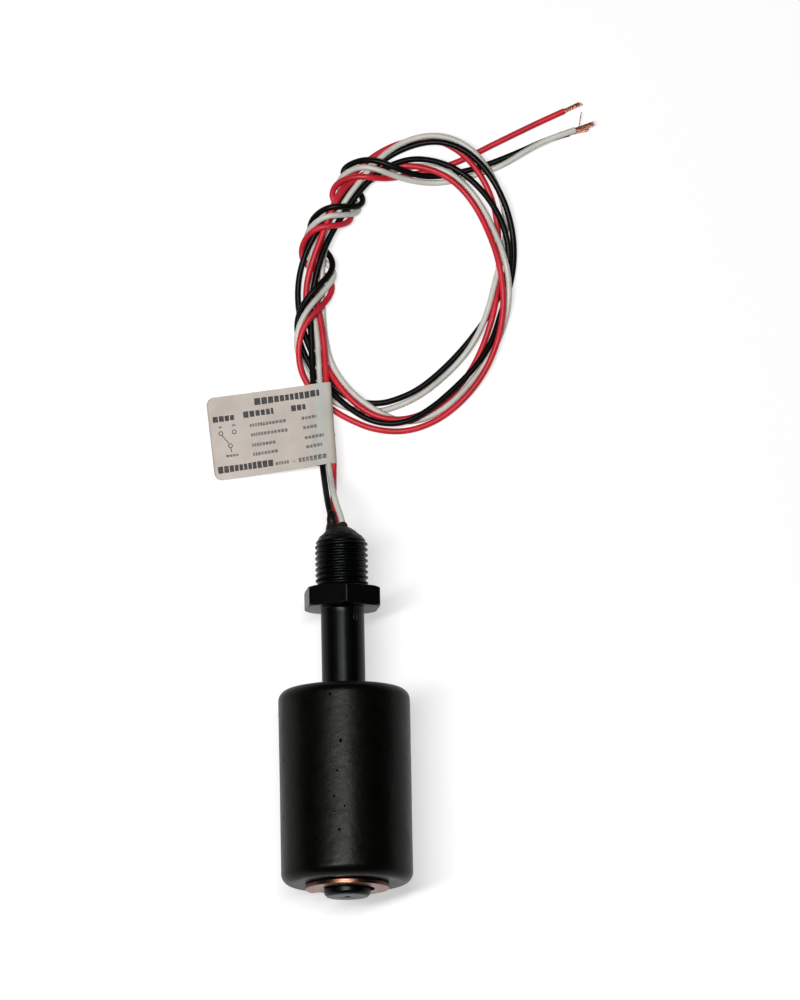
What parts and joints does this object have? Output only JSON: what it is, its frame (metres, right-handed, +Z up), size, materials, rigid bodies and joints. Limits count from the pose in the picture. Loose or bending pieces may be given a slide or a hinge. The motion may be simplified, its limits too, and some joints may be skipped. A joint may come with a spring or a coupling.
{
  "type": "magnetic float level switch",
  "caption": "Vertical float level switch: threaded hexagon plug with a stem, a foam float that slides to a retaining clip, a sealed reed switch inside and loose leads with a paper tag.",
  "frame": {"origin": "centre of the bottom of the switch's own box, on the surface it lies on, without the leads", "axes": "+Y along the stem from the float's end to the thread and the leads, +Z up from the surface"},
  "size_m": [0.1048, 0.216, 0.035],
  "materials": {
    "plug_plastic": "moulded black, satin on the stem",
    "potting_resin": "cast brownish-black resin",
    "clip_copper": "copper-coloured spring metal",
    "float_foam": "closed-cell foam rubber with a fine skin and small pits",
    "magnet_ferrite": "sintered",
    "reed_glass": "clear",
    "reed_metal": "plated nickel iron",
    "cushion_rubber": "soft moulded",
    "shrink_sleeve": "shrunk sleeve",
    "insulation_red": "soft extruded, slight sheen",
    "insulation_white": "soft extruded, slight sheen",
    "insulation_black": "soft extruded, slight sheen",
    "copper_strands": "fine twisted copper, dulled",
    "label_paper": "matt, pinkish beige, dark print bars"
  },
  "bodies": {
    "plug": {"plug_stem": "plug_plastic", "potting": "potting_resin", "retaining_clip": "clip_copper", "reed_glass": "reed_glass", "reed_common": "reed_metal", "reed_contact_closed": "reed_metal", "reed_contact_open": "reed_metal", "reed_return": "insulation_black", "reed_cushion": "cushion_rubber", "joint_red": "shrink_sleeve", "joint_white": "shrink_sleeve", "joint_black": "shrink_sleeve", "lead_red_start": "insulation_red", "lead_white_start": "insulation_white", "lead_black_start": "insulation_black", "lead_coil": "insulation_black", "lead_red_tail": "insulation_red", "lead_white_tail": "insulation_white", "lead_black_tail": "insulation_black", "strands_red": "copper_strands", "strands_white": "copper_strands", "strands_black": "copper_strands", "label": "label_paper"},
    "float_body": {"float": "float_foam", "float_magnet": "magnet_ferrite"},
    "blade": {"reed_blade": "reed_metal"}
  },
  "joints": [
    {"name": "float_slide", "type": "slide", "parent": "plug", "child": "float_body", "axis": [0, 1, 0], "range_m": [0, 0.0214]},
    {"name": "reed_flex", "type": "hinge", "parent": "plug", "child": "blade", "pos_m": [0, -0.01043, 0.0166], "axis": [-1, 0, 0], "range_deg": [0, 1.2]}
  ],
  "couplings": [
    {"joint": "reed_flex", "follows": "float_slide", "rad_per_m": 0.97}
  ]
}
